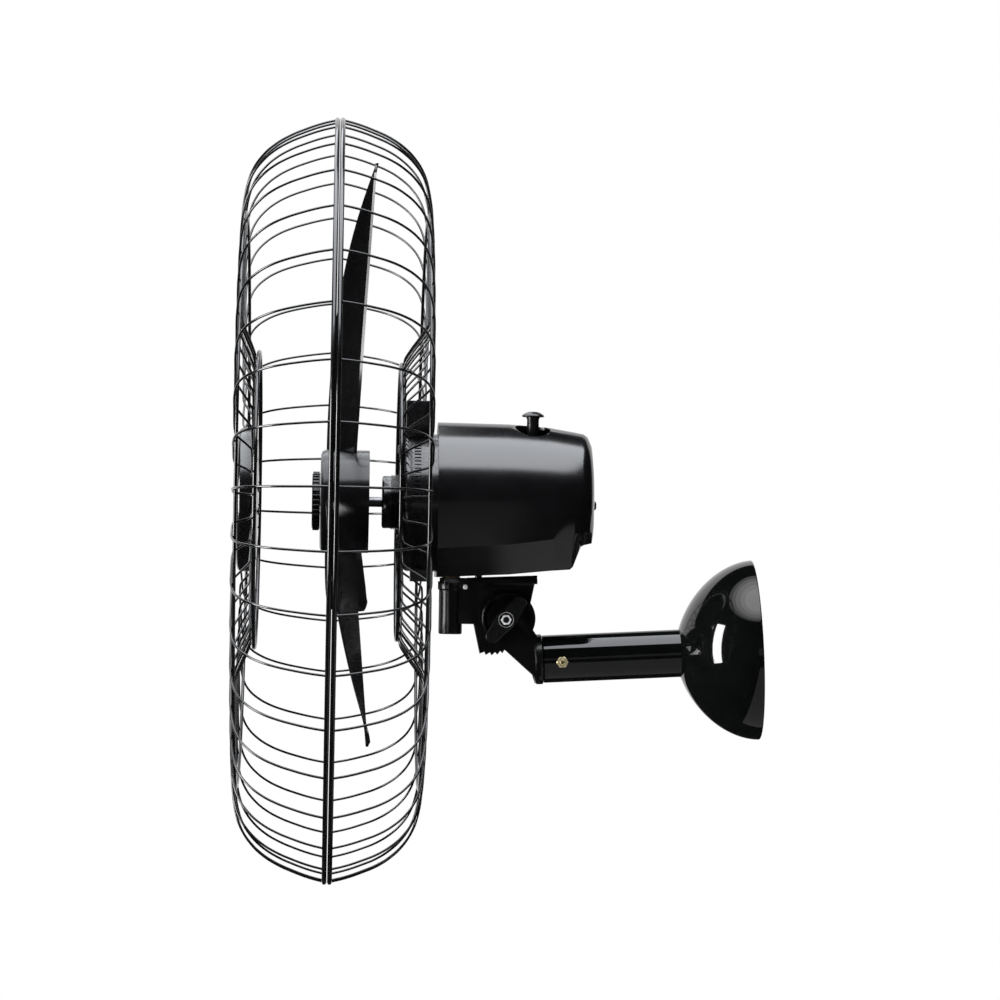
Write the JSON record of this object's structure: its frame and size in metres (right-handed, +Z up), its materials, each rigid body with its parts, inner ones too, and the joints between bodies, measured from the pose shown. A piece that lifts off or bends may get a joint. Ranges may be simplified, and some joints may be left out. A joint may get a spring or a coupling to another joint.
{
  "type": "oscillating wall fan",
  "caption": "Wall mounted oscillating fan: a round wire cage with a bladed impeller, a motor with a pull knob, a tilting neck and an arm tube that ends in a domed wall canopy.",
  "frame": {"origin": "centre of the wall plate's back face, on the wall", "axes": "+Z up, +Y into the wall, so the fan faces -Y"},
  "size_m": [0.6112, 0.4236, 0.6101],
  "materials": {
    "gloss_enamel": "deep gloss black enamel on steel",
    "satin_casting": "satin black powder coat on a casting",
    "housing_plastic": "satin black moulded plastic",
    "wire_enamel": "glossy black enamel on steel wire",
    "blade_plastic": "polished black moulded plastic",
    "knob_plastic": "black moulded plastic, fine ribs",
    "zinc_fastener": "bright zinc plate",
    "yellow_zinc_fastener": "yellow zinc plate",
    "dark_screw": "blackened steel",
    "ground_steel": "ground steel",
    "bronze": "sintered bronze",
    "copper_winding": "varnished copper wire",
    "steel_laminations": "stacked steel laminations",
    "cast_aluminium": "raw die-cast aluminium",
    "gear_nylon": "natural nylon",
    "white_plastic": "white moulded plastic"
  },
  "bodies": {
    "wall_arm": {"wall_plate": "satin_casting", "wall_screw_1": "zinc_fastener", "wall_screw_2": "zinc_fastener", "wall_screw_3": "zinc_fastener", "tube_screw": "zinc_fastener", "terminal_block": "white_plastic", "wall_dome": "gloss_enamel", "arm_tube": "gloss_enamel", "yoke_arm": "satin_casting", "arm_bolt": "yellow_zinc_fastener", "arm_nut": "yellow_zinc_fastener", "tilt_bolt": "zinc_fastener"},
    "wing_knob": {"tilt_knob": "knob_plastic", "tilt_nut": "zinc_fastener"},
    "neck": {"neck_casting": "satin_casting", "pan_bush": "bronze", "link_post": "ground_steel", "neck_screw": "zinc_fastener"},
    "head": {"motor_housing": "housing_plastic", "housing_screw": "dark_screw", "front_cover": "housing_plastic", "capacitor_box": "housing_plastic", "capacitor": "white_plastic", "stator_core": "steel_laminations", "front_winding": "copper_winding", "rear_winding": "copper_winding", "front_end_bell": "cast_aluminium", "rear_end_bell": "cast_aluminium", "front_bearing": "bronze", "rear_bearing": "bronze", "pan_stem": "ground_steel", "gear_case": "cast_aluminium", "gear_case_lid": "cast_aluminium", "front_grille": "wire_enamel", "rear_grille": "wire_enamel", "front_mid_hoop": "wire_enamel", "rear_mid_hoop": "wire_enamel", "front_corner_hoop": "wire_enamel", "rear_corner_hoop": "wire_enamel", "grille_hub_plate": "wire_enamel", "grille_screw_1": "dark_screw", "grille_screw_2": "dark_screw", "grille_screw_3": "dark_screw", "badge_cap": "housing_plastic", "badge_plate": "housing_plastic", "badge_screw_1": "dark_screw", "badge_screw_2": "dark_screw"},
    "rotor": {"fan_hub": "blade_plastic", "fan_blade_1": "blade_plastic", "fan_blade_2": "blade_plastic", "fan_blade_3": "blade_plastic", "spinner_nut": "knob_plastic", "motor_shaft": "ground_steel", "rotor_core": "steel_laminations", "worm": "ground_steel"},
    "wheel": {"worm_wheel": "gear_nylon"},
    "crank_gear": {"output_gear": "gear_nylon", "crank": "ground_steel"},
    "link": {"link_arm": "ground_steel"},
    "pull_knob": {"oscillation_knob": "knob_plastic"}
  },
  "joints": [
    {"name": "tilt", "type": "hinge", "parent": "wall_arm", "child": "neck", "pos_m": [0, -0.2, 0.033], "axis": [-1, 0, 0], "range_deg": [-35, 20]},
    {"name": "pan", "type": "hinge", "parent": "neck", "child": "head", "pos_m": [0, -0.243, 0.04778], "axis": [0, 0.0593, 0.9982], "range_deg": [-40, 40]},
    {"name": "blade_spin", "type": "hinge", "parent": "head", "child": "rotor", "pos_m": [0, -0.33309, 0.13327], "axis": [0, 0.9982, -0.0593], "continuous": true},
    {"name": "wheel_turn", "type": "hinge", "parent": "head", "child": "wheel", "pos_m": [0.016, -0.17566, 0.12392], "axis": [0, 0.0593, 0.9982], "continuous": true},
    {"name": "crank_turn", "type": "hinge", "parent": "head", "child": "crank_gear", "pos_m": [-0.008, -0.17255, 0.09368], "axis": [0, 0.0593, 0.9982], "continuous": true},
    {"name": "link_swing", "type": "hinge", "parent": "crank_gear", "child": "link", "pos_m": [-0.008, -0.18754, 0.07754], "axis": [0, 0.0593, 0.9982], "continuous": true},
    {"name": "knob_pull", "type": "slide", "parent": "head", "child": "pull_knob", "axis": [0, 0.0593, 0.9982], "range_m": [0, 0.006]},
    {"name": "wing_knob_turn", "type": "hinge", "parent": "wall_arm", "child": "wing_knob", "pos_m": [0, -0.2, 0.033], "axis": [1, 0, 0], "range_deg": [-180, 180]}
  ],
  "couplings": [
    {"joint": "wheel_turn", "follows": "blade_spin", "ratio": 0.071429},
    {"joint": "crank_turn", "follows": "blade_spin", "ratio": -0.028571},
    {"joint": "link_swing", "follows": "blade_spin", "ratio": 0.028571}
  ]
}
